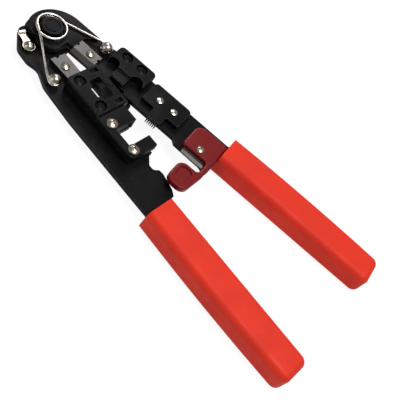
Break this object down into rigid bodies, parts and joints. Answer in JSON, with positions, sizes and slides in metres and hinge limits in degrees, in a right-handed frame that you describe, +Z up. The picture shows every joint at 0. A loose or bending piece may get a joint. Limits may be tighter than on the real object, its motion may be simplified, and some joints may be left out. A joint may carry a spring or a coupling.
{
  "type": "rj45 crimping tool",
  "caption": "Hand crimping tool for modular network plugs: two black steel arms on a sprung pivot, eight-way and six-way stations, wire cutter, stripper and red grips.",
  "frame": {"origin": "on the pivot axis, in the plane of the pivot bolt's end face, which the tool rests on", "axes": "+X from the pivot to the grips, +Y towards the arm with the rams, +Z up, away from the resting plane"},
  "size_m": [0.2049, 0.09, 0.0152],
  "materials": {
    "black_steel": "black oxide over pressed steel, satin",
    "black_screws": "blackened screw steel",
    "nickel": "bright nickel plate",
    "spring_wire": "plated music wire",
    "ground_steel": "surface ground",
    "red_grip": "moulded plastic with a fine satin surface",
    "dark_red": "moulded plastic, semi gloss"
  },
  "bodies": {
    "left_arm": {"left_arm_plate": "black_steel", "left_grip": "red_grip", "left_cutter_plate": "ground_steel", "left_cutter_screw": "nickel", "left_spring_stud": "nickel", "nest_spacer": "black_steel", "eight_way_nest": "black_steel", "eight_way_nest_screws": "black_screws", "six_way_nest": "black_steel", "six_way_nest_screws": "nickel", "pivot_bolt": "black_steel", "pivot_washer": "nickel", "pivot_nut": "nickel", "latch_rivet": "nickel", "torsion_spring": "spring_wire"},
    "right_arm": {"right_arm_plate": "black_steel", "head_plate": "black_steel", "right_grip": "red_grip", "right_cutter_blade": "ground_steel", "right_cutter_screw": "nickel", "right_spring_stud": "nickel", "eight_way_ram": "black_steel", "eight_way_ram_screws": "black_screws", "eight_way_comb": "black_steel", "six_way_comb_plate": "black_steel", "six_way_comb": "black_steel", "comb_plate_rivets": "nickel", "strip_blade": "ground_steel", "strip_guard": "dark_red", "guard_screw": "nickel"},
    "latch": {"lock_latch": "nickel"}
  },
  "joints": [
    {"name": "handle_pivot", "type": "hinge", "parent": "left_arm", "child": "right_arm", "pos_m": [0, 0, 0], "axis": [0, 0, -1], "range_deg": [0, 12], "stiffness_Nm_per_rad": 0.3, "springref_deg": -57.3, "deforming": ["torsion_spring"]},
    {"name": "lock_latch_pivot", "type": "hinge", "parent": "left_arm", "child": "latch", "pos_m": [0.00063, -0.01414, 0.0076], "axis": [0, 0, 1], "range_deg": [-4, 30]}
  ]
}
